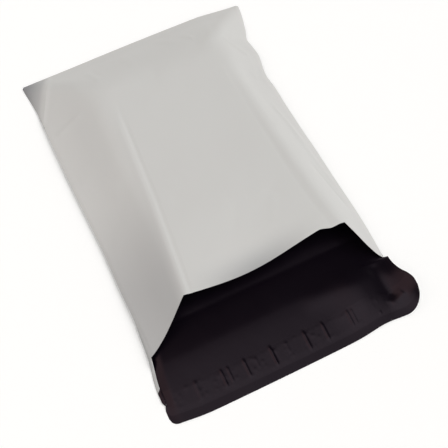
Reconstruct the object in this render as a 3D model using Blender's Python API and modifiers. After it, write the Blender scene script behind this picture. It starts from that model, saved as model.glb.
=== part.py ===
"""A poly mailer lying on its back: a folded, side-welded film sheet, an adhesive strip and its liner.

The sheet is a flat grid whose rows run from the upper film's mouth edge over the fold at the closed end
and along the lower film to the end of the flap. Each row is then laid in the shape of the filled bag.
X runs across the bag, +Y towards the closed end and +Z up, with the origin on the underside.
"""

import math

import bmesh
import bpy
import numpy as np

# Cut sizes of the bag laid flat, in metres
WIDTH = 0.254
POCKET_LENGTH = 0.330
FLAP_LENGTH = 0.064
FILM_THICKNESS = 0.00008

# The filled shape: widths of the slopes, and how far their top edges are rounded, as shares of the widths
FILL_HEIGHT = 0.027
LEFT_SLOPE_AT_CLOSED_END = 0.060
LEFT_SLOPE_AT_MOUTH = 0.049
RIGHT_SLOPE_AT_CLOSED_END = 0.042
RIGHT_SLOPE_AT_MOUTH = 0.0225
CLOSED_END_SLOPE = 0.045
LEFT_ROUNDING = 0.17
RIGHT_ROUNDING = 0.30
CLOSED_END_ROUNDING = 0.60
HIP_ROUNDING = 0.25
ROUNDING_BLEND = 0.2

# How far the filling draws the side welds in, over what length at each end, and where most;
# the places are distances from the closed end or from the weld ends
LEFT_TUCK = 0.0035
LEFT_TUCK_START = 0.042
LEFT_TUCK_FADE = 0.045
LEFT_TUCK_PAST_WELD_END = 0.032
LEFT_PINCH = 0.0025
LEFT_PINCH_FROM_CLOSED_END = 0.219
LEFT_PINCH_LENGTH = 0.065
RIGHT_TUCK = 0.0115
RIGHT_TUCK_START = 0.060
RIGHT_TUCK_FADE = 0.034
RIGHT_TUCK_PAST_WELD_END = 0.034
RIGHT_PINCH = 0.0036
RIGHT_PINCH_FROM_CLOSED_END = 0.118
RIGHT_PINCH_LENGTH = 0.034
RIGHT_SWELL = 0.0024
RIGHT_SWELL_BEFORE_WELD_END = 0.038
RIGHT_SWELL_LENGTH = 0.050

# The side welds and the closed end, lifted a little off the ground by the filling
WELD_WIDTH = 0.003
WELD_GAP = 0.0005
WELD_LIFT = 0.0035
WELD_LIFT_LENGTH = 0.080
LIFT_MARGIN = 0.030
CLOSED_END_LIFT = 0.0008
CLOSED_END_LIFT_MARGIN = 0.020
CLOSED_END_START = -0.0012
CLOSED_END_SKEW = 0.0042
CLOSED_END_BOW = 0.0010
CLOSED_END_DROP = 0.0038
CLOSED_END_DROP_WIDTH = 0.030

# The left margin, rolled up over the weld near its end and turned over as a hem on the flap
ROLL_BEFORE_WELD_END = 0.088
ROLL_GROWTH = 0.085
ROLL_INSET = 0.0032
ROLL_SPARE = 0.0046
ROLL_POWER = 1.15
ROLL_HEIGHT_AT_MOUTH = 0.0055
ROLL_HEIGHT_ON_FLAP = 0.0016
ROLL_SETTLE = 0.012
HEM_WIDTH = 0.008

# The mouth: the upper film's edge, set back over the filling and sagging between the creases
MOUTH_SET_BACK = 0.0353
LEFT_WELD_SHORT = 0.0018
RIGHT_WELD_LONG = 0.0050
MOUTH_BOW = 0.0044
MOUTH_BOW_POWER = 0.8
MOUTH_DIP = 0.0085
MOUTH_DIP_REACH = 0.080
MOUTH_LIP_REACH = 0.022
MOUTH_LIP_SHARE = 0.45
MOUTH_SHOULDER = 0.028
MOUTH_SHOULDER_RISE = 0.0032
MOUTH_SHOULDER_POWER = 1.5
MOUTH_SHOULDER_FALL = 0.014
LEFT_MOUTH_POWER = 1.2
RIGHT_MOUTH_POWER = 1.9

# The flap: its outline
FLAP_SHIFT = 0.0015
FLAP_SHIFT_LENGTH = 0.030
FLAP_FLARE = 0.0018
FLAP_STEP = 0.0042
FLAP_STEP_LENGTH = 0.022
LEFT_CORNER_RADIUS = 0.007
LEFT_CORNER_POWER = 4
RIGHT_CORNER_RADIUS = 0.019

# The flap: the low ridge that its old fold leaves, its bulge and its curled right edge
FOLD_PAST_WELD_END = 0.0095
FOLD_HEIGHT = 0.0042
FOLD_SLOPE_TO_MOUTH = 0.15
FOLD_SLOPE_TO_EDGE = 0.088
FOLD_ROUNDING_TO_MOUTH = 0.007
FOLD_ROUNDING_TO_EDGE = 0.012
FOLD_START = 0.012
FOLD_RUN_OUT = 0.030
BULGE_FROM_RIGHT = 0.061
BULGE_FROM_FLAP_END = 0.029
BULGE_WIDTH = 0.020
BULGE_LENGTH = 0.024
BULGE_HEIGHT = 0.0026
CURL_HEIGHT = 0.014
CURL_WIDTH = 0.032
CURL_LENGTH = 0.036
CURL_END_FROM_FLAP_END = 0.023
CURL_END_LENGTH = 0.022
CURL_END_DROP = 0.50

# The strip and its liner, laid across the flap's inner face
ADHESIVE_WIDTH = 0.019
LINER_WIDTH = 0.024
LINER_INSET = 0.008
ADHESIVE_THICKNESS = 0.00006
LINER_THICKNESS = 0.00006
LAYER_GAP = 0.0003

# Grid of the sheet
HEM_COLUMNS = 5
LEFT_SLOPE_COLUMNS = 7
TOP_COLUMNS = 9
RIGHT_SLOPE_COLUMNS = 7
CLOSED_END_ROWS = 9
MIDDLE_ROWS = 7
MOUTH_ROWS = 9
FLAP_ROWS_TO_LINER = 5
LINER_ROWS = 4
FLAP_ROWS_TO_EDGE = 3

MERGE_DISTANCE = 0.00002

# Colours and roughness of the finishes
WHITE_FILM = (0.80, 0.80, 0.79, 1.0)
BLACK_FILM = (0.018, 0.016, 0.020, 1.0)
ADHESIVE_COLOUR = (0.05, 0.045, 0.035, 1.0)
LINER_COLOUR = (0.035, 0.031, 0.040, 1.0)
FILM_ROUGHNESS = 0.35
STRIP_ROUGHNESS = 0.30

# Places along the bag, and the creases as shares of the width
closed_end = (POCKET_LENGTH + FLAP_LENGTH) / 2
weld_end = closed_end - POCKET_LENGTH
flap_end = weld_end - FLAP_LENGTH
left_crease = LEFT_SLOPE_AT_MOUTH / WIDTH
right_crease = 1 - RIGHT_SLOPE_AT_MOUTH / WIDTH
dip_end = right_crease - MOUTH_SHOULDER / WIDTH
hem = HEM_WIDTH / WIDTH


def ease(share):
    """A smooth step from 0 to 1."""
    share = np.clip(share, 0.0, 1.0)
    return share * share * (3 - 2 * share)


def between(start, end, share):
    return start + (end - start) * share


def bell(distance, half_width):
    """A smooth bump of height 1 at distance 0."""
    return np.exp(-((distance / half_width) ** 2))


def rounded_off(from_edge, radius):
    """How far a rounded corner pulls an edge back, at a distance from the other edge."""
    reach = np.clip(radius - from_edge, 0.0, radius)
    return radius - np.sqrt(radius**2 - reach**2)


def lower_of(first, second, rounding):
    """The lower of two ramps, with a rounded corner where they cross."""
    overlap = np.maximum(rounding - np.abs(first - second), 0.0)
    return np.minimum(first, second) - overlap**2 / (4 * rounding)


def levelled(ramp, rounding):
    """A ramp that levels off at 1 through a rounded corner."""
    corner = 1 - (1 + rounding - ramp) ** 2 / (4 * rounding)
    return np.where(ramp < 1 - rounding, ramp, np.where(ramp > 1 + rounding, 1.0, corner))


def tuck(y, start, weld_end_y, past_weld_end, fade):
    """From 0 at the closed end to 1 along the pocket and back to 0 on the flap."""
    return ease((closed_end - y) / start) * ease((y - weld_end_y + past_weld_end) / fade)


def on_flap(y, weld_end_y):
    """From 0 on the pocket to 1 where the flap has taken its own line."""
    return ease((weld_end_y - y) / FLAP_SHIFT_LENGTH)


def roll(y):
    """How far the left margin is rolled up, from 0 to 1."""
    return ease((weld_end + ROLL_BEFORE_WELD_END - y) / ROLL_GROWTH)


def left_edge(y):
    end = weld_end_line(0.0)
    drawn_in = LEFT_TUCK * tuck(y, LEFT_TUCK_START, end, LEFT_TUCK_PAST_WELD_END, LEFT_TUCK_FADE)
    pinch = LEFT_PINCH * bell(closed_end - y - LEFT_PINCH_FROM_CLOSED_END, LEFT_PINCH_LENGTH)
    return -WIDTH / 2 + drawn_in + pinch - FLAP_SHIFT * on_flap(y, end)


def right_edge(y):
    end = weld_end_line(1.0)
    drawn_in = RIGHT_TUCK * tuck(y, RIGHT_TUCK_START, end, RIGHT_TUCK_PAST_WELD_END, RIGHT_TUCK_FADE)
    pinch = RIGHT_PINCH * bell(closed_end - y - RIGHT_PINCH_FROM_CLOSED_END, RIGHT_PINCH_LENGTH)
    swell = RIGHT_SWELL * bell(y - weld_end - RIGHT_SWELL_BEFORE_WELD_END, RIGHT_SWELL_LENGTH)
    past_end = end - y
    step = np.where(past_end > MERGE_DISTANCE, FLAP_STEP * ease(1 - past_end / FLAP_STEP_LENGTH), 0.0)
    return WIDTH / 2 - drawn_in - pinch + swell + step + (FLAP_FLARE - FLAP_SHIFT) * on_flap(y, end)


def seam(y):
    """X of the upper film's left end, where it is welded to the lower film."""
    return left_edge(y) + ROLL_INSET * roll(y)


def flat_edge(y):
    """X that the lower film's left end would have if it were unrolled."""
    return left_edge(y) - ROLL_SPARE * roll(y)


def closed_end_line(across):
    """Y of the fold, at a share of the width from the left edge."""
    drop = CLOSED_END_DROP * ease(1 - (1 - across) * WIDTH / CLOSED_END_DROP_WIDTH)
    bow = CLOSED_END_BOW * np.sin(math.pi * across)
    return closed_end + CLOSED_END_START + CLOSED_END_SKEW * across + bow - drop


def weld_end_line(across):
    """Y of the straight line between the ends of the two side welds."""
    return weld_end + between(LEFT_WELD_SHORT, -RIGHT_WELD_LONG, across)


def mouth_line(across):
    """Y of the upper film's edge, level with the weld ends at the sides and set back over the filling."""
    left_share = np.minimum(across / left_crease, 1.0) ** LEFT_MOUTH_POWER
    right_share = np.minimum((1 - across) / (1 - right_crease), 1.0) ** RIGHT_MOUTH_POWER
    set_back = weld_end + MOUTH_SET_BACK - weld_end_line(across)
    share = np.clip((across - left_crease) / (dip_end - left_crease), 0.0, 1.0)
    past_dip = np.maximum(across - dip_end, 0.0) * WIDTH
    rise = MOUTH_SHOULDER_RISE * share**MOUTH_SHOULDER_POWER * ease(1 - past_dip / MOUTH_SHOULDER_FALL)
    bow = MOUTH_BOW * np.sin(math.pi * share**MOUTH_BOW_POWER)
    return weld_end_line(across) + set_back * left_share * right_share + rise - bow


def along_pocket(across, share):
    """Y on the lower film, at a share of the way from the fold to the weld ends."""
    return between(closed_end_line(across), weld_end_line(across), share)


def along_flap(across, share):
    """Y on the flap, at a share of the way to its free edge, with its two rounded corners."""
    left_corner = rounded_off(across * WIDTH, LEFT_CORNER_RADIUS) * share**LEFT_CORNER_POWER
    right_corner = rounded_off((1 - across) * WIDTH, RIGHT_CORNER_RADIUS) * share
    return between(weld_end_line(across), flap_end, share) + left_corner + right_corner


def slopes(y):
    """Widths of the left and right slopes at a place along the bag."""
    along = np.clip((closed_end - y) / POCKET_LENGTH, 0.0, 1.0)
    left = between(LEFT_SLOPE_AT_CLOSED_END, LEFT_SLOPE_AT_MOUTH, along)
    right = between(RIGHT_SLOPE_AT_CLOSED_END, RIGHT_SLOPE_AT_MOUTH, along)
    return left, right


def in_dip(across):
    """From 0 at the left crease and at the right shoulder to 1 midway, where the mouth's edge sags most."""
    share = np.clip((across - left_crease) / (dip_end - left_crease), 0.0, 1.0)
    return np.sin(math.pi * share) ** 2


def place_across(across, y, start):
    """X at a share of the width, with the creases' columns kept on the creases; start is the left end's X."""
    left, right = slopes(y)
    on_left = start + (left_edge(y) + left - start) * across / left_crease
    on_right = right_edge(y) - right * (1 - across) / (1 - right_crease)
    share = (across - left_crease) / (right_crease - left_crease)
    on_top = between(left_edge(y) + left, right_edge(y) - right, share)
    return np.where(across <= left_crease, on_left, np.where(across >= right_crease, on_right, on_top))


def weld_lift(y):
    """Height of the left weld, up to where the margin is rolled."""
    return WELD_LIFT * ease((closed_end - y) / WELD_LIFT_LENGTH) * (1 - roll(y)) * (1 - on_flap(y, weld_end))


def roll_height(y):
    """Height of the rolled margin's edge."""
    return between(ROLL_HEIGHT_AT_MOUTH, ROLL_HEIGHT_ON_FLAP, ease((weld_end - y) / ROLL_SETTLE)) * roll(y)


def margin_lift(across, x, y):
    """How far the right margin and the closed end are raised, alike for both films."""
    from_right, from_closed_end = right_edge(y) - x, closed_end - y
    filled = ease(from_closed_end / WELD_LIFT_LENGTH)
    flap = ease((weld_end_line(across) - y) / CURL_LENGTH)
    past_curl = flap_end + CURL_END_FROM_FLAP_END - y
    curl = CURL_HEIGHT * (1 - CURL_END_DROP * ease(past_curl / CURL_END_LENGTH))
    margin = between(LIFT_MARGIN, CURL_WIDTH, flap)
    right_rise = between(WELD_LIFT, curl, flap) * filled * np.maximum(1 - from_right / margin, 0.0) ** 2
    end_rise = CLOSED_END_LIFT * np.clip(1 - from_closed_end / CLOSED_END_LIFT_MARGIN, 0.0, 1.0) ** 2
    return right_rise + end_rise


def fill_share(x, y, from_closed_end):
    """Height of the filled shape as a share of its full height."""
    left, right = slopes(y)
    left_ramp = (x - seam(y)) / (left_edge(y) + left - seam(y))
    right_ramp = (right_edge(y) - x) / right
    end_ramp = from_closed_end / CLOSED_END_SLOPE
    side_ramp = np.minimum(left_ramp, right_ramp)
    hip = np.clip(2 * np.minimum(side_ramp, end_ramp), 0.001, HIP_ROUNDING)
    ramp = np.maximum(lower_of(side_ramp, end_ramp, hip), 0.0)
    weights = [np.exp(-np.maximum(r - ramp, 0.0) / ROUNDING_BLEND) for r in (left_ramp, right_ramp, end_ramp)]
    roundings = (LEFT_ROUNDING, RIGHT_ROUNDING, CLOSED_END_ROUNDING)
    rounding = sum(w * k for w, k in zip(weights, roundings)) / sum(weights)
    return levelled(ramp, rounding)


def upper_height(across, x, y):
    """Height of the upper film: its margins' height, the filling and the weld's gap, less the mouth's dip."""
    from_seam, from_right = x - seam(y), right_edge(y) - x
    from_closed_end = closed_end_line(across) - y
    left_rise = (weld_lift(y) + roll_height(y)) * np.clip(1 - from_seam / LIFT_MARGIN, 0.0, 1.0) ** 2
    fill = FILL_HEIGHT * fill_share(x, y, from_closed_end)
    from_edge = np.minimum(np.minimum(from_seam, from_right), from_closed_end)
    gap = WELD_GAP * np.clip(from_edge / WELD_WIDTH, 0.0, 1.0)
    from_mouth = y - mouth_line(across)
    lip = ease(1 - from_mouth / MOUTH_LIP_REACH)
    dip = MOUTH_DIP * in_dip(across) * between(ease(1 - from_mouth / MOUTH_DIP_REACH), lip, MOUTH_LIP_SHARE)
    return left_rise + margin_lift(across, x, y) + fill + gap - dip


def fold_height(y):
    """The low ridge that the flap's old fold leaves across it."""
    away = weld_end - FOLD_PAST_WELD_END - y
    to_edge = FOLD_SLOPE_TO_EDGE * (np.hypot(away, FOLD_ROUNDING_TO_EDGE) - FOLD_ROUNDING_TO_EDGE)
    to_mouth = FOLD_SLOPE_TO_MOUTH * (np.hypot(away, FOLD_ROUNDING_TO_MOUTH) - FOLD_ROUNDING_TO_MOUTH)
    return np.maximum(FOLD_HEIGHT - np.where(away > 0, to_edge, to_mouth), 0.0)


def lower_height(across, x, y):
    """Height of the lower film and the flap: flat on the ground, with raised margins, the ridge and the bulge."""
    from_end = x - flat_edge(y)
    left_rise = weld_lift(y) * np.clip(1 - from_end / LIFT_MARGIN, 0.0, 1.0) ** 2
    rolled = roll_height(y) * (1 - ease(from_end / HEM_WIDTH))
    inside = ease((x - left_edge(y)) / FOLD_START) * ease((right_edge(y) - x) / FOLD_RUN_OUT)
    bulge_across = bell(WIDTH / 2 - BULGE_FROM_RIGHT - x, BULGE_WIDTH)
    bulge = BULGE_HEIGHT * bulge_across * bell(y - flap_end - BULGE_FROM_FLAP_END, BULGE_LENGTH)
    return left_rise + rolled + margin_lift(across, x, y) + (fold_height(y) + bulge) * inside


def upper_points(across, along):
    """Points of the upper film, from the fold (0) to the mouth's edge (1), as rows of X, Y, Z."""
    a, b = np.meshgrid(across, along)
    y = between(closed_end_line(a), mouth_line(a), b)
    x = place_across(a, y, seam(y))
    return np.stack([x, y, upper_height(a, x, y)], axis=-1)


def lower_points(across, along, place_along, above=0.0):
    """Points of the lower film or the flap, with the left margin rolled up."""
    a, b = np.meshgrid(across, along)
    y = place_along(a, b)
    x = place_across(a, y, flat_edge(y))
    z = lower_height(a, x, y) + above
    turned = np.clip(1 - (x - flat_edge(y)) / ROLL_SPARE, 0.0, 1.0) ** ROLL_POWER
    return np.stack([x + (ROLL_INSET + ROLL_SPARE) * roll(y) * turned, y, z], axis=-1)


def steps(start, end, count):
    """Even steps from start to end, without the end itself."""
    return np.linspace(start, end, count, endpoint=False)


def columns():
    """Shares of the width: close together on the hem, even on the slopes and the top, one at the right weld."""
    weld = 1 - WELD_WIDTH / WIDTH
    on_hem = steps(0.0, hem, HEM_COLUMNS)
    on_left = steps(hem, left_crease, LEFT_SLOPE_COLUMNS)
    on_top = steps(left_crease, right_crease, TOP_COLUMNS)
    on_right = steps(right_crease, weld, RIGHT_SLOPE_COLUMNS)
    return np.concatenate([on_hem, on_left, on_top, on_right, [weld, 1.0]])


def pocket_rows():
    """Shares of the pocket's length from the fold, closer together at the fold and at the mouth."""
    weld = WELD_WIDTH / POCKET_LENGTH
    slope_end = CLOSED_END_SLOPE * (1 + CLOSED_END_ROUNDING) / POCKET_LENGTH
    dip_start = 1 - MOUTH_DIP_REACH / POCKET_LENGTH
    slope = steps(weld, slope_end, CLOSED_END_ROWS)
    middle = steps(slope_end, dip_start, MIDDLE_ROWS)
    return np.concatenate([[0.0, weld / 2], slope, middle, steps(dip_start, 1.0, MOUTH_ROWS), [1.0]])


def liner_shares():
    """Where the liner and the adhesive under it start and end, as shares of the flap's length."""
    middle = 1 - (LINER_INSET + LINER_WIDTH / 2) / FLAP_LENGTH
    liner = LINER_WIDTH / 2 / FLAP_LENGTH
    adhesive = ADHESIVE_WIDTH / 2 / FLAP_LENGTH
    return middle - liner, middle - adhesive, middle + adhesive, middle + liner


def adhesive_rows():
    """Rows across the adhesive, from its far edge to its near one."""
    start, end = liner_shares()[1:3]
    return np.linspace(start, end, LINER_ROWS + 1)


def flap_rows():
    """Shares of the flap's length from the weld ends, with rows along the strip's and the liner's edges."""
    liner_start, _, _, liner_end = liner_shares()
    to_liner = steps(0.0, liner_start, FLAP_ROWS_TO_LINER)
    to_edge = steps(liner_end, 1.0, FLAP_ROWS_TO_EDGE)
    return np.concatenate([to_liner, [liner_start], adhesive_rows(), to_edge, [1.0]])


def make_material(name, colour, roughness):
    material = bpy.data.materials.new(name)
    material.use_nodes = True
    shader = material.node_tree.nodes["Principled BSDF"]
    shader.inputs["Base Color"].default_value = colour
    shader.inputs["Roughness"].default_value = roughness
    shader.inputs["Metallic"].default_value = 0.0
    return material


def folded_grid(points):
    """A flat grid primitive with one vertex for each point, each then moved to its place."""
    rows, columns_across = points.shape[0] - 1, points.shape[1] - 1
    bm = bmesh.new()
    bmesh.ops.create_grid(bm, x_segments=columns_across, y_segments=rows, size=1.0)
    for vertex in bm.verts:
        row = round((vertex.co.y + 1) / 2 * rows)
        column = round((vertex.co.x + 1) / 2 * columns_across)
        vertex.co = points[row, column].tolist()
    return bm


def make_sheet(name, bm, collection, thickness, materials):
    """An object from an open surface, cut into triangles all one way and made a closed sheet by Solidify."""
    mesh = bpy.data.meshes.new(name)
    bm.to_mesh(mesh)
    bm.free()
    mesh.shade_smooth()
    for material in materials:
        mesh.materials.append(material)
    sheet = bpy.data.objects.new(name, mesh)
    collection.objects.link(sheet)
    triangles = sheet.modifiers.new("Triangles", "TRIANGULATE")
    triangles.quad_method = "FIXED"
    solidify = sheet.modifiers.new("Thickness", "SOLIDIFY")
    solidify.thickness = thickness
    solidify.offset = -1.0
    solidify.material_offset = len(materials) - 1
    solidify.material_offset_rim = len(materials) - 1
    return sheet


def make_bag(collection):
    """The sheet from the mouth's edge back to the fold, and from there to the end of the flap."""
    across = columns()
    upper = upper_points(across, pocket_rows()[::-1])
    lower = lower_points(across, pocket_rows()[1:], along_pocket)
    flap = lower_points(across, flap_rows()[1:], along_flap)
    bm = folded_grid(np.concatenate([upper, lower, flap]))
    side_verts = [v for v in bm.verts if v.is_boundary]
    bmesh.ops.remove_doubles(bm, verts=side_verts, dist=MERGE_DISTANCE)
    white = make_material("white_film", WHITE_FILM, FILM_ROUGHNESS)
    black = make_material("black_film", BLACK_FILM, FILM_ROUGHNESS)
    return make_sheet("mailer_bag", bm, collection, FILM_THICKNESS, [white, black])


def make_band(collection, name, rows, height, thickness, colour):
    """A thin strip across the flap, inside its hem, following it at a height above its underside."""
    across = columns()[HEM_COLUMNS:]
    bm = folded_grid(lower_points(across, rows, along_flap, height + thickness))
    bmesh.ops.reverse_faces(bm, faces=bm.faces)
    return make_sheet(name, bm, collection, thickness, [make_material(name, colour, STRIP_ROUGHNESS)])


def main():
    for old in list(bpy.data.objects):
        bpy.data.objects.remove(old)
    collection = bpy.data.collections.new("poly_mailer")
    bpy.context.scene.collection.children.link(collection)
    make_bag(collection)
    liner_start, _, _, liner_end = liner_shares()
    height = FILM_THICKNESS + LAYER_GAP
    make_band(collection, "adhesive_strip", adhesive_rows(), height, ADHESIVE_THICKNESS, ADHESIVE_COLOUR)
    rows = np.concatenate([[liner_start], adhesive_rows(), [liner_end]])
    height += ADHESIVE_THICKNESS + LAYER_GAP
    make_band(collection, "release_liner", rows, height, LINER_THICKNESS, LINER_COLOUR)


main()
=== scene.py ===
"""Looks of the poly mailer: the creased film sheet, its adhesive strip and its release liner."""

import math

import bmesh
import bpy
import numpy as np
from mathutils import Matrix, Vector


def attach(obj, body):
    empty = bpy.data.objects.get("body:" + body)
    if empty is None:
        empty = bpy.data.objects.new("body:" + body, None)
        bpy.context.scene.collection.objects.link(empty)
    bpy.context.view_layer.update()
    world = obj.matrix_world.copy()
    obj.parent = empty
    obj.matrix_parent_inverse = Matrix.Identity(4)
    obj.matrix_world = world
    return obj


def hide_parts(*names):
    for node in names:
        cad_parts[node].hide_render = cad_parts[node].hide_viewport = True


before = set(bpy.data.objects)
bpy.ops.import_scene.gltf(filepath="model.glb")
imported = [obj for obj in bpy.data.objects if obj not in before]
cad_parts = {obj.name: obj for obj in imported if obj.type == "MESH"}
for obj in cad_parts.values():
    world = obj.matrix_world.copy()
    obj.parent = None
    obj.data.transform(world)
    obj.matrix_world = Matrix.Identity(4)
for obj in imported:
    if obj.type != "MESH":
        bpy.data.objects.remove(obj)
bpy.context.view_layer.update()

# Cut sizes of the bag laid flat, in metres; the film is thicker here than in the frame, to render cleanly
WIDTH = 0.254
POCKET_LENGTH = 0.330
FLAP_LENGTH = 0.064
FILM_THICKNESS = 0.00020

# The filled shape: widths of the slopes, and how far their top edges are rounded, as shares of the widths
FILL_HEIGHT = 0.027
LEFT_SLOPE_AT_CLOSED_END = 0.060
LEFT_SLOPE_AT_MOUTH = 0.049
RIGHT_SLOPE_AT_CLOSED_END = 0.042
RIGHT_SLOPE_AT_MOUTH = 0.0225
CLOSED_END_SLOPE = 0.045
LEFT_ROUNDING = 0.17
RIGHT_ROUNDING = 0.30
CLOSED_END_ROUNDING = 0.60
ROUNDING_BLEND = 0.2
HIP_ROUNDING = 0.25
LEAST_HIP_ROUNDING = 0.002

# How far the filling draws the side welds in; places are distances from the closed end or the weld ends
LEFT_TUCK = 0.0035
LEFT_TUCK_START = 0.042
LEFT_TUCK_FADE = 0.045
LEFT_TUCK_PAST_WELD_END = 0.032
LEFT_PINCH = 0.0025
LEFT_PINCH_FROM_CLOSED_END = 0.219
LEFT_PINCH_LENGTH = 0.065
RIGHT_TUCK = 0.0115
RIGHT_TUCK_START = 0.060
RIGHT_TUCK_FADE = 0.034
RIGHT_TUCK_PAST_WELD_END = 0.034

# Puckers in the right weld: place along the bag, how far out, half length
RIGHT_PUCKERS = [
    (0.148, -0.0018, 0.007),
    (0.124, 0.0010, 0.009),
    (0.096, -0.0034, 0.015),
    (0.060, -0.0024, 0.030),
    (0.020, -0.0010, 0.020),
    (-0.095, 0.0024, 0.050),
]

# The side welds and the closed end
WELD_WIDTH = 0.003
WELD_CLEARANCE = 0.00055
WELD_LIFT = 0.0035
WELD_LIFT_LENGTH = 0.080
LIFT_MARGIN = 0.030
CLOSED_END_LIFT = 0.0008
CLOSED_END_LIFT_MARGIN = 0.020
CLOSED_END_START = -0.0012
CLOSED_END_SKEW = 0.0042
CLOSED_END_BOW = 0.0010
CLOSED_END_DROP = 0.0038
CLOSED_END_DROP_WIDTH = 0.030
EAR_RADIUS = 0.002

# The left margin, which rolls up over the weld near the mouth and goes on as a turned-over hem on the flap
ROLL_BEFORE_WELD_END = 0.088
ROLL_GROWTH = 0.085
ROLL_END_FROM_FLAP_END = 0.016
ROLL_FADE = 0.010
ROLL_INSET = 0.0032
ROLL_SPARE = 0.0046
ROLL_REACH = 0.0046
ROLL_POWER = 1.15
ROLL_HEIGHT_AT_MOUTH = 0.0055
ROLL_HEIGHT_ON_FLAP = 0.0016
ROLL_SETTLE = 0.012
ROLL_DEPTH = 0.008

# The mouth
MOUTH_SET_BACK = 0.0353
LEFT_WELD_SHORT = 0.0018
RIGHT_WELD_LONG = 0.0050
MOUTH_BOW = 0.0044
MOUTH_BOW_POWER = 0.8
MOUTH_DIP = 0.0085
MOUTH_DIP_REACH = 0.080
MOUTH_LIP_REACH = 0.022
MOUTH_LIP_SHARE = 0.45
MOUTH_SHOULDER = 0.028
MOUTH_SHOULDER_RISE = 0.0032
MOUTH_SHOULDER_POWER = 1.5
MOUTH_SHOULDER_FALL = 0.014
LEFT_MOUTH_POWER = 1.2
RIGHT_MOUTH_POWER = 1.9

# The flap: its free edge, its fold line, its bulge and its curled right edge
FLAP_SHIFT = 0.0015
FLAP_SHIFT_LENGTH = 0.030
FLAP_FLARE = 0.0018
FLAP_STEP = 0.0042
FLAP_STEP_LENGTH = 0.022
FLAP_BOW = 0.0009
FOLD_PAST_WELD_END = 0.0095
FOLD_HEIGHT = 0.0042
FOLD_SLOPE_TO_MOUTH = 0.15
FOLD_SLOPE_TO_EDGE = 0.088
FOLD_ROUNDING_TO_MOUTH = 0.007
FOLD_ROUNDING_TO_EDGE = 0.012
FOLD_START = 0.012
FOLD_RUN_OUT = 0.030
LEFT_CORNER_RADIUS = 0.007
RIGHT_CORNER_RADIUS = 0.019
CURL_HEIGHT = 0.014
CURL_WIDTH = 0.032
CURL_LENGTH = 0.036
CURL_END_FROM_FLAP_END = 0.023
CURL_END_LENGTH = 0.022
CURL_END_DROP = 0.50
BULGE_FROM_RIGHT = 0.052
BULGE_FROM_FLAP_END = 0.037
BULGE_WIDTH = 0.020
BULGE_LENGTH = 0.024
BULGE_HEIGHT = 0.0042

# Waves of the flap's free edge: share across the bag, how far in, half width
FLAP_WAVES = [
    (0.84, 0.0026, 0.020),
    (0.0, 0.0030, 0.022),
]

# Soft folds in the flap beside its raised corner: two ends, height and half width
FLAP_CREASES = [
    ((0.100, -0.136), (0.106, -0.180), -0.0016, 0.0065),
    ((0.020, -0.146), (0.120, -0.150), 0.0010, 0.0100),
    ((0.100, -0.184), (0.116, -0.176), 0.0008, 0.0040),
]

# Folds in the upper film that run along the bag: their places along and across it, from the closed end
LEFT_FOLD = [(0.125, -0.047), (0.060, -0.052), (0.000, -0.056), (-0.080, -0.064), (-0.110, -0.067)]
RIGHT_FOLD = [(0.135, 0.078), (0.060, 0.080), (-0.020, 0.082), (-0.060, 0.085), (-0.110, 0.092)]
FOLD_FADE = 0.050

# The ridge and the groove of each of these folds: height, place beside the line and half width
LEFT_FOLD_PROFILE = [(0.0009, -0.0055, 0.0045), (-0.0006, 0.0, 0.0020)]
RIGHT_FOLD_PROFILE = [(0.0010, 0.0, 0.0065), (-0.0003, -0.0095, 0.0030)]

# Short creases in the upper film: two ends, height and half width
POCKET_CREASES = [
    ((0.094, 0.100), (0.112, 0.086), 0.0006, 0.0016),
    ((0.098, 0.108), (0.116, 0.096), 0.0005, 0.0014),
    ((0.096, 0.060), (0.110, -0.010), 0.0008, 0.0018),
    ((0.101, 0.030), (0.112, -0.060), 0.0008, 0.0020),
    ((0.098, -0.020), (0.110, -0.085), -0.0007, 0.0018),
    ((0.086, 0.150), (0.106, 0.120), 0.0006, 0.0020),
    ((0.020, 0.186), (0.042, 0.160), 0.0005, 0.0022),
    ((0.048, 0.178), (0.058, 0.160), 0.0005, 0.0018),
    ((-0.020, 0.180), (-0.012, 0.150), 0.0004, 0.0030),
    ((-0.062, 0.176), (-0.052, 0.150), 0.0005, 0.0030),
    ((-0.126, 0.136), (-0.094, 0.196), 0.0007, 0.0020),
    ((-0.118, 0.120), (-0.080, 0.128), 0.0005, 0.0030),
    ((-0.116, 0.060), (-0.082, 0.072), 0.0004, 0.0035),
    ((-0.112, -0.020), (-0.078, 0.004), 0.0004, 0.0030),
    ((0.010, -0.012), (0.024, -0.030), 0.0004, 0.0040),
    ((-0.026, 0.030), (-0.012, 0.008), 0.0003, 0.0040),
    ((-0.004, -0.064), (0.012, -0.030), -0.0003, 0.0040),
    ((0.034, -0.070), (0.046, -0.040), 0.0004, 0.0040),
]

# Share of a crease's length over which each of its ends fades
CREASE_FADE = 0.2

# Faint swells all over the upper film, away from its edges
SWELL_SEED = 11
SWELLS = 60
SWELL_HEIGHT = 0.0005
SWELL_HALF_WIDTH = 0.009
SWELL_SIZES = (0.6, 1.4)
SWELLS_TO_SIDE = 0.098
SWELLS_FROM = -0.090
SWELLS_TO = 0.170

# The adhesive strip and its liner
ADHESIVE_WIDTH = 0.019
LINER_WIDTH = 0.024
LINER_INSET = 0.008
STRIP_THICKNESS = 0.00004
STRIP_GAP = 0.00002

# The liner's puffed middle and its small bumps; its long edges lie down on the film
LINER_PUFF = 0.00012
LINER_EDGE = 0.006
BUMP_SEED = 7
BUMPS = 150
BUMP_HEIGHT = 0.00016
BUMP_HALF_WIDTH = 0.0022
BUMP_SIZES = (0.4, 1.0)

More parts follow.
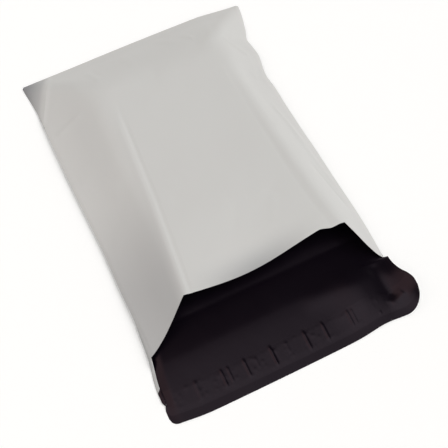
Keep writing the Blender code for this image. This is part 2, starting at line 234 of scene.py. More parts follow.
# Creases across the liner: place across the bag, near and far end, height, half width
LINER_CREASES = [
    (-0.0950, -0.186, -0.163, 0.000330, 0.0018),
    (-0.0700, -0.186, -0.165, 0.000630, 0.0011),
    (-0.0635, -0.184, -0.166, 0.000510, 0.0010),
    (-0.0475, -0.187, -0.165, 0.000630, 0.0012),
    (-0.0370, -0.182, -0.170, 0.000180, 0.0012),
    (-0.0210, -0.189, -0.163, 0.000825, 0.0011),
    (-0.0185, -0.186, -0.167, -0.000120, 0.0010),
    (-0.0060, -0.182, -0.170, 0.000240, 0.0014),
    (0.0130, -0.189, -0.164, 0.000750, 0.0012),
    (0.0320, -0.188, -0.163, 0.000750, 0.0011),
    (0.0580, -0.186, -0.165, 0.000630, 0.0011),
    (0.0620, -0.186, -0.168, 0.000450, 0.0010),
    (0.0860, -0.190, -0.182, 0.000390, 0.0012),
]

# How finely the film is drawn: columns from left to right, and rows from the closed end to the flap's edge
ROLL_COLUMNS = 9
LEFT_COLUMNS = 27
FOLD_COLUMNS = 22
TOP_COLUMNS = 28
RIGHT_COLUMNS = 32
WELD_COLUMNS = 3
CLOSED_END_ROWS = 34
MIDDLE_ROWS = 36
MOUTH_ROWS = 40
FLAP_ROWS = 50
STRIP_COLUMNS = 320
STRIP_ROWS = 28

# Where the denser columns and rows lie: in metres from an edge, and for the long folds as a share of the top
ROLL_BAND = 0.009
FOLD_BAND = 0.18
CLOSED_END_BAND = 0.080
MOUTH_BAND = 0.070

# Vertices nearer than this are one, and edges sharper than this angle in degrees aren't smoothed
MERGE_DISTANCE = 0.00002
SHARP_ANGLE = 70

closed_end = (POCKET_LENGTH + FLAP_LENGTH) / 2
weld_end = closed_end - POCKET_LENGTH
flap_end = weld_end - FLAP_LENGTH
left_crease = LEFT_SLOPE_AT_MOUTH / WIDTH
right_crease = 1 - RIGHT_SLOPE_AT_MOUTH / WIDTH
dip_end = right_crease - MOUTH_SHOULDER / WIDTH


def ease(share):
    """A smooth step from 0 to 1."""
    share = np.clip(share, 0.0, 1.0)
    return share * share * (3 - 2 * share)


def between(start, end, share):
    return start + (end - start) * share


def bell(distance, half_width):
    """A smooth bump of height 1 at distance 0."""
    return np.exp(-((distance / half_width) ** 2))


def upturn(from_edge, margin):
    """How a margin turns up towards its edge, from 0 to 1."""
    return np.maximum(1 - from_edge / margin, 0.0) ** 2


def rounded_off(from_edge, radius):
    """How far a rounded corner pulls an edge back."""
    reach = np.clip(radius - from_edge, 0.0, radius)
    return radius - np.sqrt(radius**2 - reach**2)


def rounded_fall(away, slope, rounding):
    """The fall beside a ridge whose top is rounded."""
    return slope * (np.sqrt(away**2 + rounding**2) - rounding)


def lower_of(first, second, rounding):
    """The lower of two ramps, with a rounded corner where they cross."""
    overlap = np.maximum(rounding - np.abs(first - second), 0.0)
    return np.minimum(first, second) - overlap**2 / (4 * rounding)


def levelled(ramp, rounding):
    """A ramp that levels off at 1 through a rounded corner."""
    corner = 1 - (1 + rounding - ramp) ** 2 / (4 * rounding)
    return np.where(ramp < 1 - rounding, ramp, np.where(ramp > 1 + rounding, 1.0, corner))


def line_between(x, y, start, end):
    """Share along a line, and the distance from it to the right."""
    dx, dy = end[0] - start[0], end[1] - start[1]
    length = math.hypot(dx, dy)
    along = ((x - start[0]) * dx + (y - start[1]) * dy) / length**2
    away = ((x - start[0]) * dy - (y - start[1]) * dx) / length
    return along, away


def crease(x, y, start, end, height, half_width):
    """A raised line, or a sunk one where height is negative, that fades out at both ends."""
    along, away = line_between(x, y, start, end)
    return height * bell(away, half_width) * ease(along / CREASE_FADE) * ease((1 - along) / CREASE_FADE)


def creases(x, y, lines):
    return sum(crease(x, y, *line) for line in lines)


def tuck(y, start, weld_end_y, past_weld_end, fade):
    """How far the filling draws a weld in, from 0 to 1."""
    return ease((closed_end - y) / start) * ease((y - weld_end_y + past_weld_end) / fade)


def on_flap(y, weld_end_y):
    return ease((weld_end_y - y) / FLAP_SHIFT_LENGTH)


def roll(y):
    """How far the left margin is rolled up, from 0 to 1."""
    growth = ease((weld_end + ROLL_BEFORE_WELD_END - y) / ROLL_GROWTH)
    return growth * ease((y - flap_end - ROLL_END_FROM_FLAP_END) / ROLL_FADE)


def left_edge(y):
    end = weld_end_line(0.0)
    pinch = LEFT_PINCH * bell(closed_end - y - LEFT_PINCH_FROM_CLOSED_END, LEFT_PINCH_LENGTH)
    drawn_in = LEFT_TUCK * tuck(y, LEFT_TUCK_START, end, LEFT_TUCK_PAST_WELD_END, LEFT_TUCK_FADE)
    return -WIDTH / 2 + drawn_in + pinch - FLAP_SHIFT * on_flap(y, end)


def right_edge(y):
    end = weld_end_line(1.0)
    x = WIDTH / 2 - RIGHT_TUCK * tuck(y, RIGHT_TUCK_START, end, RIGHT_TUCK_PAST_WELD_END, RIGHT_TUCK_FADE)
    x = x + (FLAP_FLARE - FLAP_SHIFT) * on_flap(y, end)
    step = FLAP_STEP * ease(1 - (end - y) / FLAP_STEP_LENGTH)
    x = x + np.where(end - y > MERGE_DISTANCE, step, 0.0)
    for place, out, half_length in RIGHT_PUCKERS:
        x = x + out * bell(y - place, half_length)
    return x


def closed_end_line(across):
    corners = rounded_off(across * WIDTH, EAR_RADIUS) + rounded_off((1 - across) * WIDTH, EAR_RADIUS)
    drop = CLOSED_END_DROP * ease(1 - (1 - across) * WIDTH / CLOSED_END_DROP_WIDTH)
    bow = CLOSED_END_BOW * np.sin(math.pi * across)
    return closed_end + CLOSED_END_START + CLOSED_END_SKEW * across + bow - drop - corners


def weld_end_line(across):
    return weld_end + between(LEFT_WELD_SHORT, -RIGHT_WELD_LONG, across)


def dip_share(across):
    """Share of the way across the mouth's dip, from the left crease to the right shoulder."""
    return np.clip((across - left_crease) / (dip_end - left_crease), 0.0, 1.0)


def in_dip(across):
    return np.sin(math.pi * dip_share(across)) ** 2


def mouth_line(across):
    left_share = np.minimum(across / left_crease, 1.0) ** LEFT_MOUTH_POWER
    right_share = np.minimum((1 - across) / (1 - right_crease), 1.0) ** RIGHT_MOUTH_POWER
    set_back = weld_end + MOUTH_SET_BACK - weld_end_line(across)
    share = dip_share(across)
    past_dip = np.maximum(across - dip_end, 0.0) * WIDTH
    rise = MOUTH_SHOULDER_RISE * share**MOUTH_SHOULDER_POWER * ease(1 - past_dip / MOUTH_SHOULDER_FALL)
    bow = MOUTH_BOW * np.sin(math.pi * share**MOUTH_BOW_POWER)
    return weld_end_line(across) + set_back * left_share * right_share + rise - bow


def flap_line(across):
    left_corner = rounded_off(across * WIDTH, LEFT_CORNER_RADIUS)
    right_corner = rounded_off((1 - across) * WIDTH, RIGHT_CORNER_RADIUS)
    y = flap_end + left_corner + right_corner - FLAP_BOW * np.sin(math.pi * across)
    for place, inwards, half_width in FLAP_WAVES:
        y = y + inwards * bell((across - place) * WIDTH, half_width)
    return y


def slopes(y):
    """Widths of the left and the right slope at a place along the bag."""
    along = np.clip((closed_end - y) / POCKET_LENGTH, 0.0, 1.0)
    left = between(LEFT_SLOPE_AT_CLOSED_END, LEFT_SLOPE_AT_MOUTH, along)
    right = between(RIGHT_SLOPE_AT_CLOSED_END, RIGHT_SLOPE_AT_MOUTH, along)
    return left, right


def seam(y):
    """Where the upper film meets the lower one on the left."""
    return left_edge(y) + ROLL_INSET * roll(y)


def flat_edge(y):
    """Where the lower film's left margin would end if it were unrolled."""
    return left_edge(y) - ROLL_SPARE * roll(y)


def place_across(across, y, start):
    """Place across the bag, with the columns following the creases; start is the film's left end."""
    left, right = slopes(y)
    on_left = start + (left_edge(y) + left - start) * across / left_crease
    on_right = right_edge(y) - right * (1 - across) / (1 - right_crease)
    share = (across - left_crease) / (right_crease - left_crease)
    on_top = between(left_edge(y) + left, right_edge(y) - right, share)
    return np.where(across <= left_crease, on_left, np.where(across >= right_crease, on_right, on_top))


def margin_lift(across, x, y):
    """How far the right margin and the closed end are raised, alike for both films."""
    from_closed_end = closed_end - y
    filled = ease(from_closed_end / WELD_LIFT_LENGTH)
    flap = ease((weld_end_line(across) - y) / CURL_LENGTH)
    drop = 1 - CURL_END_DROP * ease((flap_end + CURL_END_FROM_FLAP_END - y) / CURL_END_LENGTH)
    height = between(WELD_LIFT, CURL_HEIGHT * drop, flap) * filled
    margin = between(LIFT_MARGIN, CURL_WIDTH, flap)
    end_rise = CLOSED_END_LIFT * upturn(from_closed_end, CLOSED_END_LIFT_MARGIN)
    return height * upturn(right_edge(y) - x, margin) + end_rise


def weld_lift(y):
    """How far the left weld is raised."""
    return WELD_LIFT * ease((closed_end - y) / WELD_LIFT_LENGTH) * (1 - roll(y)) * (1 - on_flap(y, weld_end))


def roll_height(y):
    settled = ease((weld_end - y) / ROLL_SETTLE)
    return between(ROLL_HEIGHT_AT_MOUTH, ROLL_HEIGHT_ON_FLAP, settled) * roll(y)


def fill_share(x, y, end_line):
    """Height of the filled shape as a share of its full height."""
    left, right = slopes(y)
    left_ramp = (x - seam(y)) / (left_edge(y) + left - seam(y))
    right_ramp = (right_edge(y) - x) / right
    end_ramp = (end_line - y) / CLOSED_END_SLOPE
    side_ramp = np.minimum(left_ramp, right_ramp)
    hip = np.clip(2 * np.minimum(side_ramp, end_ramp), LEAST_HIP_ROUNDING, HIP_ROUNDING)
    ramp = lower_of(side_ramp, end_ramp, hip)
    ramps = (left_ramp, right_ramp, end_ramp)
    roundings = (LEFT_ROUNDING, RIGHT_ROUNDING, CLOSED_END_ROUNDING)
    weights = [np.exp(-np.maximum(other - ramp, 0.0) / ROUNDING_BLEND) for other in ramps]
    rounding = sum(weight * each for weight, each in zip(weights, roundings)) / sum(weights)
    return levelled(np.maximum(ramp, 0.0), rounding)


def upper_height(across, x, y):
    """Height of the upper film without its fine relief."""
    from_seam = np.maximum(x - seam(y), 0.0)
    left_rise = (weld_lift(y) + roll_height(y)) * upturn(from_seam, LIFT_MARGIN)
    from_mouth = y - mouth_line(across)
    near_mouth = ease(1 - from_mouth / MOUTH_DIP_REACH)
    near_lip = ease(1 - from_mouth / MOUTH_LIP_REACH)
    dip = MOUTH_DIP * in_dip(across) * between(near_mouth, near_lip, MOUTH_LIP_SHARE)
    fill = FILL_HEIGHT * fill_share(x, y, closed_end_line(across))
    from_edge = np.minimum(np.minimum(from_seam, right_edge(y) - x), closed_end_line(across) - y)
    apart = WELD_CLEARANCE * ease(from_edge / WELD_WIDTH)
    return left_rise + margin_lift(across, x, y) + np.maximum(fill, 0.0) + apart - dip


def fold_height(y):
    """The low ridge that the flap's old fold leaves across it."""
    away = weld_end - FOLD_PAST_WELD_END - y
    to_edge = rounded_fall(away, FOLD_SLOPE_TO_EDGE, FOLD_ROUNDING_TO_EDGE)
    to_mouth = rounded_fall(away, FOLD_SLOPE_TO_MOUTH, FOLD_ROUNDING_TO_MOUTH)
    return np.maximum(FOLD_HEIGHT - np.where(away > 0, to_edge, to_mouth), 0.0)


def lower_height(across, x, y):
    """Height of the lower film and the flap."""
    inwards = x - flat_edge(y)
    left_rise = weld_lift(y) * upturn(inwards, LIFT_MARGIN)
    left_rise = left_rise + roll_height(y) * (1 - ease(inwards / ROLL_DEPTH))
    inside = ease((x - left_edge(y)) / FOLD_START) * ease((right_edge(y) - x) / FOLD_RUN_OUT)
    bulge_across = bell(WIDTH / 2 - BULGE_FROM_RIGHT - x, BULGE_WIDTH)
    bulge = BULGE_HEIGHT * bulge_across * bell(y - flap_end - BULGE_FROM_FLAP_END, BULGE_LENGTH)
    height = left_rise + margin_lift(across, x, y) + fold_height(y) * inside + bulge
    return height + creases(x, y, FLAP_CREASES)


def fold_across(y, fold):
    """Where a fold lies across the bag at a place along it."""
    along = [place for place, _ in reversed(fold)]
    across = [place for _, place in reversed(fold)]
    return np.interp(y, along, across)


def fold_relief(x, y, fold, profile):
    """The ridge and the groove of a long fold."""
    beside = x - fold_across(y, fold)
    height = sum(rise * bell(beside - place, half_width) for rise, place, half_width in profile)
    return height * ease((fold[0][0] - y) / FOLD_FADE)


def pocket_relief(x, y):
    """The long folds beside the filling, the short creases and the swells, above the smooth upper film."""
    height = fold_relief(x, y, LEFT_FOLD, LEFT_FOLD_PROFILE)
    height = height + fold_relief(x, y, RIGHT_FOLD, RIGHT_FOLD_PROFILE)
    height = height + creases(x, y, POCKET_CREASES)
    chance = np.random.default_rng(SWELL_SEED)
    for _ in range(SWELLS):
        place = chance.uniform((-SWELLS_TO_SIDE, SWELLS_FROM), (SWELLS_TO_SIDE, SWELLS_TO))
        rise = chance.uniform(-SWELL_HEIGHT, SWELL_HEIGHT)
        half_width = SWELL_HALF_WIDTH * chance.uniform(*SWELL_SIZES)
        height = height + rise * bell(np.hypot(x - place[0], y - place[1]), half_width)
    return height


def liner_relief(x, y, from_edge):
    """The liner's puffed middle with its bumps and short creases; its long edges lie down on the film."""
    height = np.full_like(x, LINER_PUFF)
    chance = np.random.default_rng(BUMP_SEED)
    for _ in range(BUMPS):
        place = chance.uniform((x.min(), y.min()), (x.max(), y.max()))
        size = chance.uniform(*BUMP_SIZES)
        away = np.hypot(x - place[0], y - place[1])
        height = height + BUMP_HEIGHT * size * bell(away, BUMP_HALF_WIDTH * size)
    for place, near, far, rise, half_width in LINER_CREASES:
        height = height + crease(x, y, (place, near), (place, far), rise, half_width)
    return between(-STRIP_GAP - STRIP_THICKNESS, height, ease(from_edge / LINER_EDGE))


def steps(start, end, count):
    return np.linspace(start, end, count, endpoint=False)


def columns():
    """Shares across the bag, closer together at the roll, the folds and the right weld."""
    roll_end = ROLL_BAND / WIDTH
    weld = WELD_WIDTH / WIDTH
    left_band = between(left_crease, right_crease, FOLD_BAND)
    right_band = between(left_crease, right_crease, 1 - FOLD_BAND)
    return np.concatenate([
        steps(0.0, roll_end, ROLL_COLUMNS),
        steps(roll_end, left_crease, LEFT_COLUMNS),
        steps(left_crease, left_band, FOLD_COLUMNS),
        steps(left_band, right_band, TOP_COLUMNS),
        steps(right_band, right_crease, FOLD_COLUMNS),
        steps(right_crease, 1 - weld, RIGHT_COLUMNS),
        np.linspace(1 - weld, 1.0, WELD_COLUMNS + 1),
    ])


def pocket_rows():
    """Shares along the pocket from its closed end to its mouth."""
    slope_end = CLOSED_END_BAND / POCKET_LENGTH
    dip_start = 1 - MOUTH_BAND / POCKET_LENGTH
    return np.concatenate([
        steps(0.0, slope_end, CLOSED_END_ROWS),
        steps(slope_end, dip_start, MIDDLE_ROWS),
        np.linspace(dip_start, 1.0, MOUTH_ROWS + 1),
    ])


def upper_points(across, along):
    """The upper film, as rows of (x, y, z)."""
    a, b = np.meshgrid(across, along)
    y = between(closed_end_line(a), mouth_line(a), b)
    x = place_across(a, y, seam(y))
    return np.stack([x, y, upper_height(a, x, y) + pocket_relief(x, y)], axis=-1)


def lower_points(across, along, line_from, line_to, above=0.0):
    """The lower film or the flap, with its left margin rolled up."""
    a, b = np.meshgrid(across, along)
    y = between(line_from(a), line_to(a), b)
    x = place_across(a, y, flat_edge(y))
    z = lower_height(a, x, y) + above
    rolled = np.maximum(1 - (x - flat_edge(y)) / ROLL_REACH, 0.0) ** ROLL_POWER
    x = x + (ROLL_INSET + ROLL_SPARE) * roll(y) * rolled
    return np.stack([x, y, z], axis=-1)


def make_mesh(name, points, materials):
    """A grid mesh from rows of points, its boundary vertices merged where they coincide."""
    rows, cols = points.shape[:2]
    index = np.arange(rows * cols).reshape(rows, cols)
    corners = [index[:-1, :-1], index[:-1, 1:], index[1:, 1:], index[1:, :-1]]
    quads = np.stack(corners, axis=-1).reshape(-1, 4)
    mesh = bpy.data.meshes.new(name)
    mesh.from_pydata(points.reshape(-1, 3).tolist(), [], quads.tolist())
    bm = bmesh.new()
    bm.from_mesh(mesh)
    edge_verts = [v for v in bm.verts if v.is_boundary]
    bmesh.ops.remove_doubles(bm, verts=edge_verts, dist=MERGE_DISTANCE)
    bm.to_mesh(mesh)
    bm.free()
    mesh.shade_smooth()
    mesh.set_sharp_from_angle(angle=math.radians(SHARP_ANGLE))
    for material in materials:
        mesh.materials.append(material)
    obj = bpy.data.objects.new(name, mesh)
    bpy.context.scene.collection.objects.link(obj)
    return obj


def thicken(obj, thickness, inner_material=0):
    """Gives a film its thickness, inwards, and shades it flat up to its rim."""
    solidify = obj.modifiers.new("Thickness", "SOLIDIFY")
    solidify.thickness = thickness
    solidify.offset = -1.0
    solidify.material_offset = inner_material
    normals = obj.modifiers.new("Flat to the rim", "WEIGHTED_NORMAL")
    normals.keep_sharp = True


# Sockets of the Mix node that take its two colours and give the mixed one
MIX_FIRST = 6
MIX_SECOND = 7
MIX_RESULT = 2


def node_material(name):
    material = bpy.data.materials.new(name)
    material.use_nodes = True
    nodes = material.node_tree.nodes
    return material, nodes, material.node_tree.links, nodes["Principled BSDF"]


def feed(links, value, socket):
    """Gives an input a plain value, or links it to another node's output."""
    if isinstance(value, bpy.types.NodeSocket):
        links.new(value, socket)
    else:
        socket.default_value = value


def calculate(nodes, links, operation, first, second):
    """A Math node."""
    step = nodes.new("ShaderNodeMath")
    step.operation = operation
    feed(links, first, step.inputs[0])
    feed(links, second, step.inputs[1])
    return step.outputs[0]


def number_range(nodes, links, value, low, high, end=1.0):
    """Maps a value from 0..end to between two numbers."""
    step = nodes.new("ShaderNodeMapRange")
    step.inputs["From Max"].default_value = end
    step.inputs["To Min"].default_value = low
    step.inputs["To Max"].default_value = high
    links.new(value, step.inputs["Value"])
    return step.outputs["Result"]


def mix_colours(nodes, links, share, first, second):
    mix = nodes.new("ShaderNodeMix")
    mix.data_type = "RGBA"
    links.new(share, mix.inputs[0])
    feed(links, first, mix.inputs[MIX_FIRST])
    feed(links, second, mix.inputs[MIX_SECOND])
    return mix.outputs[MIX_RESULT]


def add_noise(nodes, links, scale, detail, stretch=(1.0, 1.0, 1.0)):
    """Noise over object coordinates."""
    place = nodes.new("ShaderNodeTexCoord")
    mapping = nodes.new("ShaderNodeMapping")
    mapping.inputs["Scale"].default_value = stretch
    noise = nodes.new("ShaderNodeTexNoise")
    noise.inputs["Scale"].default_value = scale
    noise.inputs["Detail"].default_value = detail
    links.new(place.outputs["Object"], mapping.inputs["Vector"])
    links.new(mapping.outputs["Vector"], noise.inputs["Vector"])
    return noise.outputs["Fac"]


def add_bump(nodes, links, height, strength, distance, below=None):
    """Bump from a height, on top of another bump's normal if one is given."""
    bump = nodes.new("ShaderNodeBump")
    bump.inputs["Strength"].default_value = strength
    bump.inputs["Distance"].default_value = distance
    links.new(height, bump.inputs["Height"])
    if below is not None:
        links.new(below, bump.inputs["Normal"])
    return bump.outputs["Normal"]


# The film's surface: scale, detail and stretch of each noise, and how much it does
MOTTLE = (14.0, 4.0)
GLOSS_PATCHES = (35.0, 3.0, (1.0, 0.35, 1.0))
GLOSS_SPREAD = 0.06
WRINKLES = (60.0, 5.0, (1.0, 0.5, 1.0))
WRINKLE_DEPTH = 0.0006
PEEL = (900.0, 2.0)
PEEL_STRENGTH = 0.12
PEEL_DEPTH = 0.00006

# The name of the value on each vertex that says how far the white film is greyed: at the far left corner, and
# as painted shade along the mouth and on the left slope
GREY_AND_SHADE_ATTRIBUTE = "grey_and_painted_shade"

# The four materials: colours between which they vary, roughness, gloss and wrinkles
WHITE_FILM = {
    "low": (0.585, 0.58, 0.57, 1),
    "high": (0.605, 0.605, 0.595, 1),
    # The grey that the white film turns to at its greyed far left corner and where shade is painted along the
    # mouth and on the left slope
    "grey_and_painted_shade": (0.20, 0.205, 0.22, 1),
    "roughness": 0.42,
    "specular": 0.22,
    "wrinkle": 0.25,
}
BLACK = {
    "low": (0.0028, 0.0018, 0.0036, 1),
    "high": (0.0036, 0.0024, 0.0046, 1),
    "gloss_colour": (1.0, 0.84, 0.98, 1),
}
BLACK_FILM = {**BLACK, "roughness": 0.32, "specular": 0.11, "wrinkle": 0.4}
RELEASE_FILM = {**BLACK, "roughness": 0.30, "specular": 0.13, "wrinkle": 0.7}
HOT_MELT = {
    "low": (0.03, 0.028, 0.02, 1),
    "high": (0.04, 0.036, 0.028, 1),
    "roughness": 0.3,
    "specular": 0.5,
    "wrinkle": 0.2,
}


def film_material(name, low, high, roughness, specular, wrinkle, grey_and_painted_shade=None, gloss_colour=(1, 1, 1, 1)):
    """Satin polyethylene film: faint mottling, uneven gloss, fine wrinkles and an orange-peel surface."""
    material, nodes, links, shader = node_material(name)
    mottle = add_noise(nodes, links, *MOTTLE)
    colour = mix_colours(nodes, links, mottle, low, high)
    # Mixes in that grey by the value on each vertex: the greyed far left corner, and painted shade along the
    # mouth and on the left slope
    if grey_and_painted_shade is not None:
        share = nodes.new("ShaderNodeAttribute")
        share.attribute_name = GREY_AND_SHADE_ATTRIBUTE
        colour = mix_colours(nodes, links, share.outputs["Fac"], colour, grey_and_painted_shade)
    links.new(colour, shader.inputs["Base Color"])
    gloss = add_noise(nodes, links, *GLOSS_PATCHES)
    gloss = number_range(nodes, links, gloss, roughness - GLOSS_SPREAD, roughness + GLOSS_SPREAD)
    links.new(gloss, shader.inputs["Roughness"])
    shader.inputs["Specular IOR Level"].default_value = specular
    shader.inputs["Specular Tint"].default_value = gloss_colour
    peel = add_noise(nodes, links, *PEEL)
    wrinkles = add_noise(nodes, links, *WRINKLES)
    normal = add_bump(nodes, links, wrinkles, wrinkle, WRINKLE_DEPTH)
    normal = add_bump(nodes, links, peel, PEEL_STRENGTH, PEEL_DEPTH, normal)
    links.new(normal, shader.inputs["Normal"])
    return material


# Where the white film is greyed and bluish: the far left corner, past a fold
EAR_FOLD = ((-0.125, 0.140), (-0.097, 0.192))
EAR_FOLD_WIDTH = 0.008
EAR_DEPTH = 0.030
EAR_GREY = 0.62
EAR_GREY_AT_FOLD = 0.30

# Painted shade along the mouth's cut edge, where the film bends down, and on the left slope beside the left
# fold, growing towards the mouth
MOUTH_PAINTED_SHADE = 0.50
MOUTH_PAINTED_SHADE_REACH = 0.026
LEFT_PAINTED_SHADE = 0.38
LEFT_SHADE_START = 0.040
LEFT_SHADE_LENGTH = 0.130
LEFT_SHADE_WIDTH = 0.016


def paint_grey_and_shade(bag):
    """A value on each vertex: how far the white film is greyed at its far left corner, with painted shade
    along the mouth and on the left slope towards the mouth.
    """
    mesh = bag.data
    places = np.empty(len(mesh.vertices) * 3)
    mesh.vertices.foreach_get("co", places)
    x, y, _ = places.reshape(-1, 3).T
    _, past_fold = line_between(x, y, *EAR_FOLD)
    ear = EAR_GREY_AT_FOLD * ease(-past_fold / EAR_FOLD_WIDTH) + EAR_GREY * ease(-past_fold / EAR_DEPTH)
    across = np.clip(x / WIDTH + 0.5, 0.0, 1.0)
    # Painted shade along the mouth's cut edge, where the film bends down
    mouth = MOUTH_PAINTED_SHADE * ease(1 - np.abs(y - mouth_line(across)) / MOUTH_PAINTED_SHADE_REACH) * in_dip(across)
    # Painted shade on the left slope beside the left fold, darker towards the mouth
    beside_fold = ease((fold_across(y, LEFT_FOLD) - x) / LEFT_SHADE_WIDTH)
    left = LEFT_PAINTED_SHADE * beside_fold * ease((LEFT_SHADE_START - y) / LEFT_SHADE_LENGTH)
    grey_and_painted_shade = mesh.attributes.new(GREY_AND_SHADE_ATTRIBUTE, "FLOAT", "POINT")
    grey_and_painted_shade.data.foreach_set("value", ear + np.maximum(mouth, left))


def make_bag():
    """The bag as one sheet: the upper film from the mouth, the lower film and the flap."""
    across = columns()
    along = pocket_rows()
    upper = upper_points(across, along[::-1])
    lower = lower_points(across, along[1:], closed_end_line, weld_end_line)
    flap = lower_points(across, np.linspace(0.0, 1.0, FLAP_ROWS + 1)[1:], weld_end_line, flap_line)
    white = film_material("white_film", **WHITE_FILM)
    black = film_material("black_film", **BLACK_FILM)
    bag = make_mesh("mailer_film", np.concatenate([upper, lower, flap]), [white, black])
    # Greys the far left corner and paints shade along the mouth and on the left slope
    paint_grey_and_shade(bag)
    thicken(bag, FILM_THICKNESS, inner_material=1)
    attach(bag, "root")
    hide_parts("mailer_bag")


def make_band(name, node, width, above, material, creased=False):
    """A strip across the flap; above is how high its upper face lies over the film's lower one."""
    middle = 1 - (LINER_INSET + LINER_WIDTH / 2) / FLAP_LENGTH
    half = width / 2 / FLAP_LENGTH
    across = np.linspace(0.0, 1.0, STRIP_COLUMNS + 1)
    rows = np.linspace(middle + half, middle - half, STRIP_ROWS + 1)
    points = lower_points(across, rows, weld_end_line, flap_line, above)
    if creased:
        from_start = np.linspace(0.0, width, STRIP_ROWS + 1)
        from_edge = np.minimum(from_start, from_start[::-1])
        points[..., 2] += liner_relief(points[..., 0], points[..., 1], from_edge[:, None])
    band = make_mesh(name, points, [material])
    thicken(band, STRIP_THICKNESS)
    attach(band, "root")
    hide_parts(node)


def make_strips():
    above = FILM_THICKNESS + STRIP_GAP + STRIP_THICKNESS
    adhesive = film_material("hot_melt", **HOT_MELT)
    liner = film_material("release_film", **RELEASE_FILM)
    make_band("adhesive", "adhesive_strip", ADHESIVE_WIDTH, above, adhesive)
    above += STRIP_GAP + STRIP_THICKNESS
    make_band("liner", "release_liner", LINER_WIDTH, above, liner, creased=True)


# The room: how bright it looks at the horizon and overhead, and its even light on matt surfaces
HORIZON = 1.0
OVERHEAD = 0.10
OVERHEAD_FROM = 0.55
ROOM_LIGHT = 0.62
ROOM_COLOUR = (1.0, 0.985, 0.96, 1)

# Two soft panels that only gloss shows: direction, the cosine at their edge, and brightness
FRONT_PANEL = (0.05, -0.35, 0.935)
FRONT_PANEL_EDGE = 0.72
FRONT_PANEL_LIGHT = 2.7
LEFT_PANEL = (-0.60, 0.25, 0.76)
LEFT_PANEL_EDGE = 0.75
LEFT_PANEL_LIGHT = 2.4
LEFT_PANEL_COLOUR = (1.0, 0.72, 0.66, 1)

# The floor, which glows a little so that it stays white
FLOOR_SIZE = 6.0
FLOOR_COLOUR = (0.9, 0.9, 0.9, 1)
FLOOR_ROUGHNESS = 0.9
FLOOR_GLOW = 0.135
FLOOR_GLOW_COLOUR = (1, 1, 1, 1)

# The wide soft light from the right and the front, and a small warm one from the left and behind
WINDOW_FROM = (0.60, -0.28, 0.75)
WINDOW_ANGLE = 55
WINDOW_LIGHT = 1.41
SMALL_LIGHT_FROM = (-1.40, 0.76, 1.22)
SMALL_LIGHT_SIZE = 0.7
SMALL_LIGHT_POWER = 0.8
SMALL_LIGHT_COLOUR = (1.0, 0.82, 0.70)

# The camera, matched to the photograph: millimetres, pixels, metres and degrees
SENSOR_WIDTH = 36.0
PHOTO_WIDTH = 448
FOCAL_PIXELS = 773.8
CAMERA_PLACE = (-0.1410, -0.3220, 0.6840)
CAMERA_TILT = 65.32
CAMERA_BEARING = 25.89
CAMERA_CLIP = 0.01


def seen_directly(nodes, links):
    """1 for what the camera sees, straight, in gloss or through glass, and 0 for light on matt surfaces."""
    path = nodes.new("ShaderNodeLightPath")
    seen = calculate(nodes, links, "ADD", path.outputs["Is Camera Ray"], path.outputs["Is Glossy Ray"])
    return calculate(nodes, links, "MAXIMUM", seen, path.outputs["Is Transmission Ray"])


def make_floor():
    bpy.ops.mesh.primitive_plane_add(size=FLOOR_SIZE, location=(0.0, 0.0, 0.0))
    floor = bpy.context.object
    floor.name = "floor"
    material, nodes, links, shader = node_material("floor_paper")
    shader.inputs["Base Color"].default_value = FLOOR_COLOUR
    shader.inputs["Roughness"].default_value = FLOOR_ROUGHNESS
    shader.inputs["Specular IOR Level"].default_value = 0.0
    shader.inputs["Emission Color"].default_value = FLOOR_GLOW_COLOUR
    glow = calculate(nodes, links, "MULTIPLY", seen_directly(nodes, links), FLOOR_GLOW)
    links.new(glow, shader.inputs["Emission Strength"])
    floor.data.materials.append(material)


def panel(nodes, links, direction, centre, edge, light):
    """A soft round panel in the room: its light towards its centre and 0 past its edge, given as a cosine."""
    towards = nodes.new("ShaderNodeVectorMath")
    towards.operation = "DOT_PRODUCT"
    towards.inputs[1].default_value = Vector(centre).normalized()
    links.new(direction, towards.inputs[0])
    soft = nodes.new("ShaderNodeMapRange")
    soft.interpolation_type = "SMOOTHSTEP"
    soft.inputs["From Min"].default_value = edge
    links.new(towards.outputs["Value"], soft.inputs["Value"])
    return calculate(nodes, links, "MULTIPLY", soft.outputs["Result"], light)


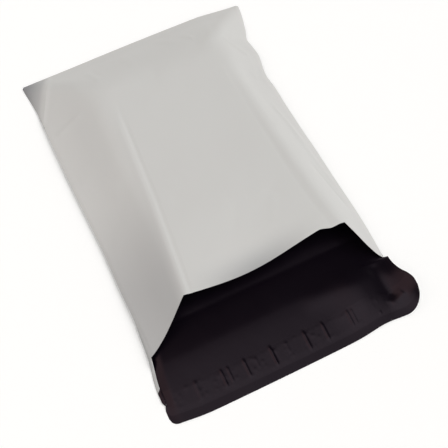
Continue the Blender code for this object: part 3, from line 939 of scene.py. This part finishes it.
def make_world():
    """A pale room, white at the horizon, with a soft panel in front and a warm one on the left."""
    world = bpy.data.worlds.new("studio")
    bpy.context.scene.world = world
    world.use_nodes = True
    nodes, links = world.node_tree.nodes, world.node_tree.links
    direction = nodes.new("ShaderNodeTexCoord").outputs["Generated"]
    split = nodes.new("ShaderNodeSeparateXYZ")
    links.new(direction, split.inputs["Vector"])
    seen = seen_directly(nodes, links)
    room = number_range(nodes, links, split.outputs["Z"], HORIZON, OVERHEAD, end=OVERHEAD_FROM)
    front = panel(nodes, links, direction, FRONT_PANEL, FRONT_PANEL_EDGE, FRONT_PANEL_LIGHT)
    room = calculate(nodes, links, "ADD", room, front)
    change = calculate(nodes, links, "SUBTRACT", room, ROOM_LIGHT)
    change = calculate(nodes, links, "MULTIPLY", change, seen)
    back = nodes["Background"]
    back.inputs["Color"].default_value = ROOM_COLOUR
    links.new(calculate(nodes, links, "ADD", change, ROOM_LIGHT), back.inputs["Strength"])
    left = panel(nodes, links, direction, LEFT_PANEL, LEFT_PANEL_EDGE, LEFT_PANEL_LIGHT)
    warm = nodes.new("ShaderNodeBackground")
    warm.inputs["Color"].default_value = LEFT_PANEL_COLOUR
    links.new(calculate(nodes, links, "MULTIPLY", left, seen), warm.inputs["Strength"])
    both = nodes.new("ShaderNodeAddShader")
    links.new(back.outputs["Background"], both.inputs[0])
    links.new(warm.outputs["Background"], both.inputs[1])
    links.new(both.outputs["Shader"], nodes["World Output"].inputs["Surface"])


def make_sun():
    """Light from a wide patch of the sky, so that it is as bright at both ends of the bag."""
    data = bpy.data.lights.new("window", "SUN")
    data.angle = math.radians(WINDOW_ANGLE)
    data.energy = WINDOW_LIGHT
    light = bpy.data.objects.new("window", data)
    light.rotation_euler = Vector(WINDOW_FROM).to_track_quat("Z", "Y").to_euler()
    light.visible_glossy = False
    bpy.context.scene.collection.objects.link(light)


def make_small_light():
    """A square light, aimed at the origin."""
    data = bpy.data.lights.new("fill", "AREA")
    data.size = SMALL_LIGHT_SIZE
    data.energy = SMALL_LIGHT_POWER
    data.color = SMALL_LIGHT_COLOUR
    light = bpy.data.objects.new("fill", data)
    light.location = SMALL_LIGHT_FROM
    light.rotation_euler = (-Vector(SMALL_LIGHT_FROM)).to_track_quat("-Z", "Y").to_euler()
    bpy.context.scene.collection.objects.link(light)


def make_camera():
    """The photograph's view."""
    data = bpy.data.cameras.new("camera")
    data.sensor_width = SENSOR_WIDTH
    data.lens = SENSOR_WIDTH * FOCAL_PIXELS / PHOTO_WIDTH
    data.clip_start = CAMERA_CLIP
    camera = bpy.data.objects.new("camera", data)
    camera.location = CAMERA_PLACE
    tilt = math.radians(CAMERA_TILT)
    bearing = math.radians(CAMERA_BEARING)
    level = math.cos(tilt)
    ahead = Vector((math.sin(bearing) * level, math.cos(bearing) * level, -math.sin(tilt)))
    camera.rotation_euler = ahead.to_track_quat("-Z", "Y").to_euler()
    bpy.context.scene.collection.objects.link(camera)
    bpy.context.scene.camera = camera


make_bag()
make_strips()
make_floor()
make_world()
make_sun()
make_small_light()
make_camera()
bpy.context.scene.view_settings.view_transform = "Standard"
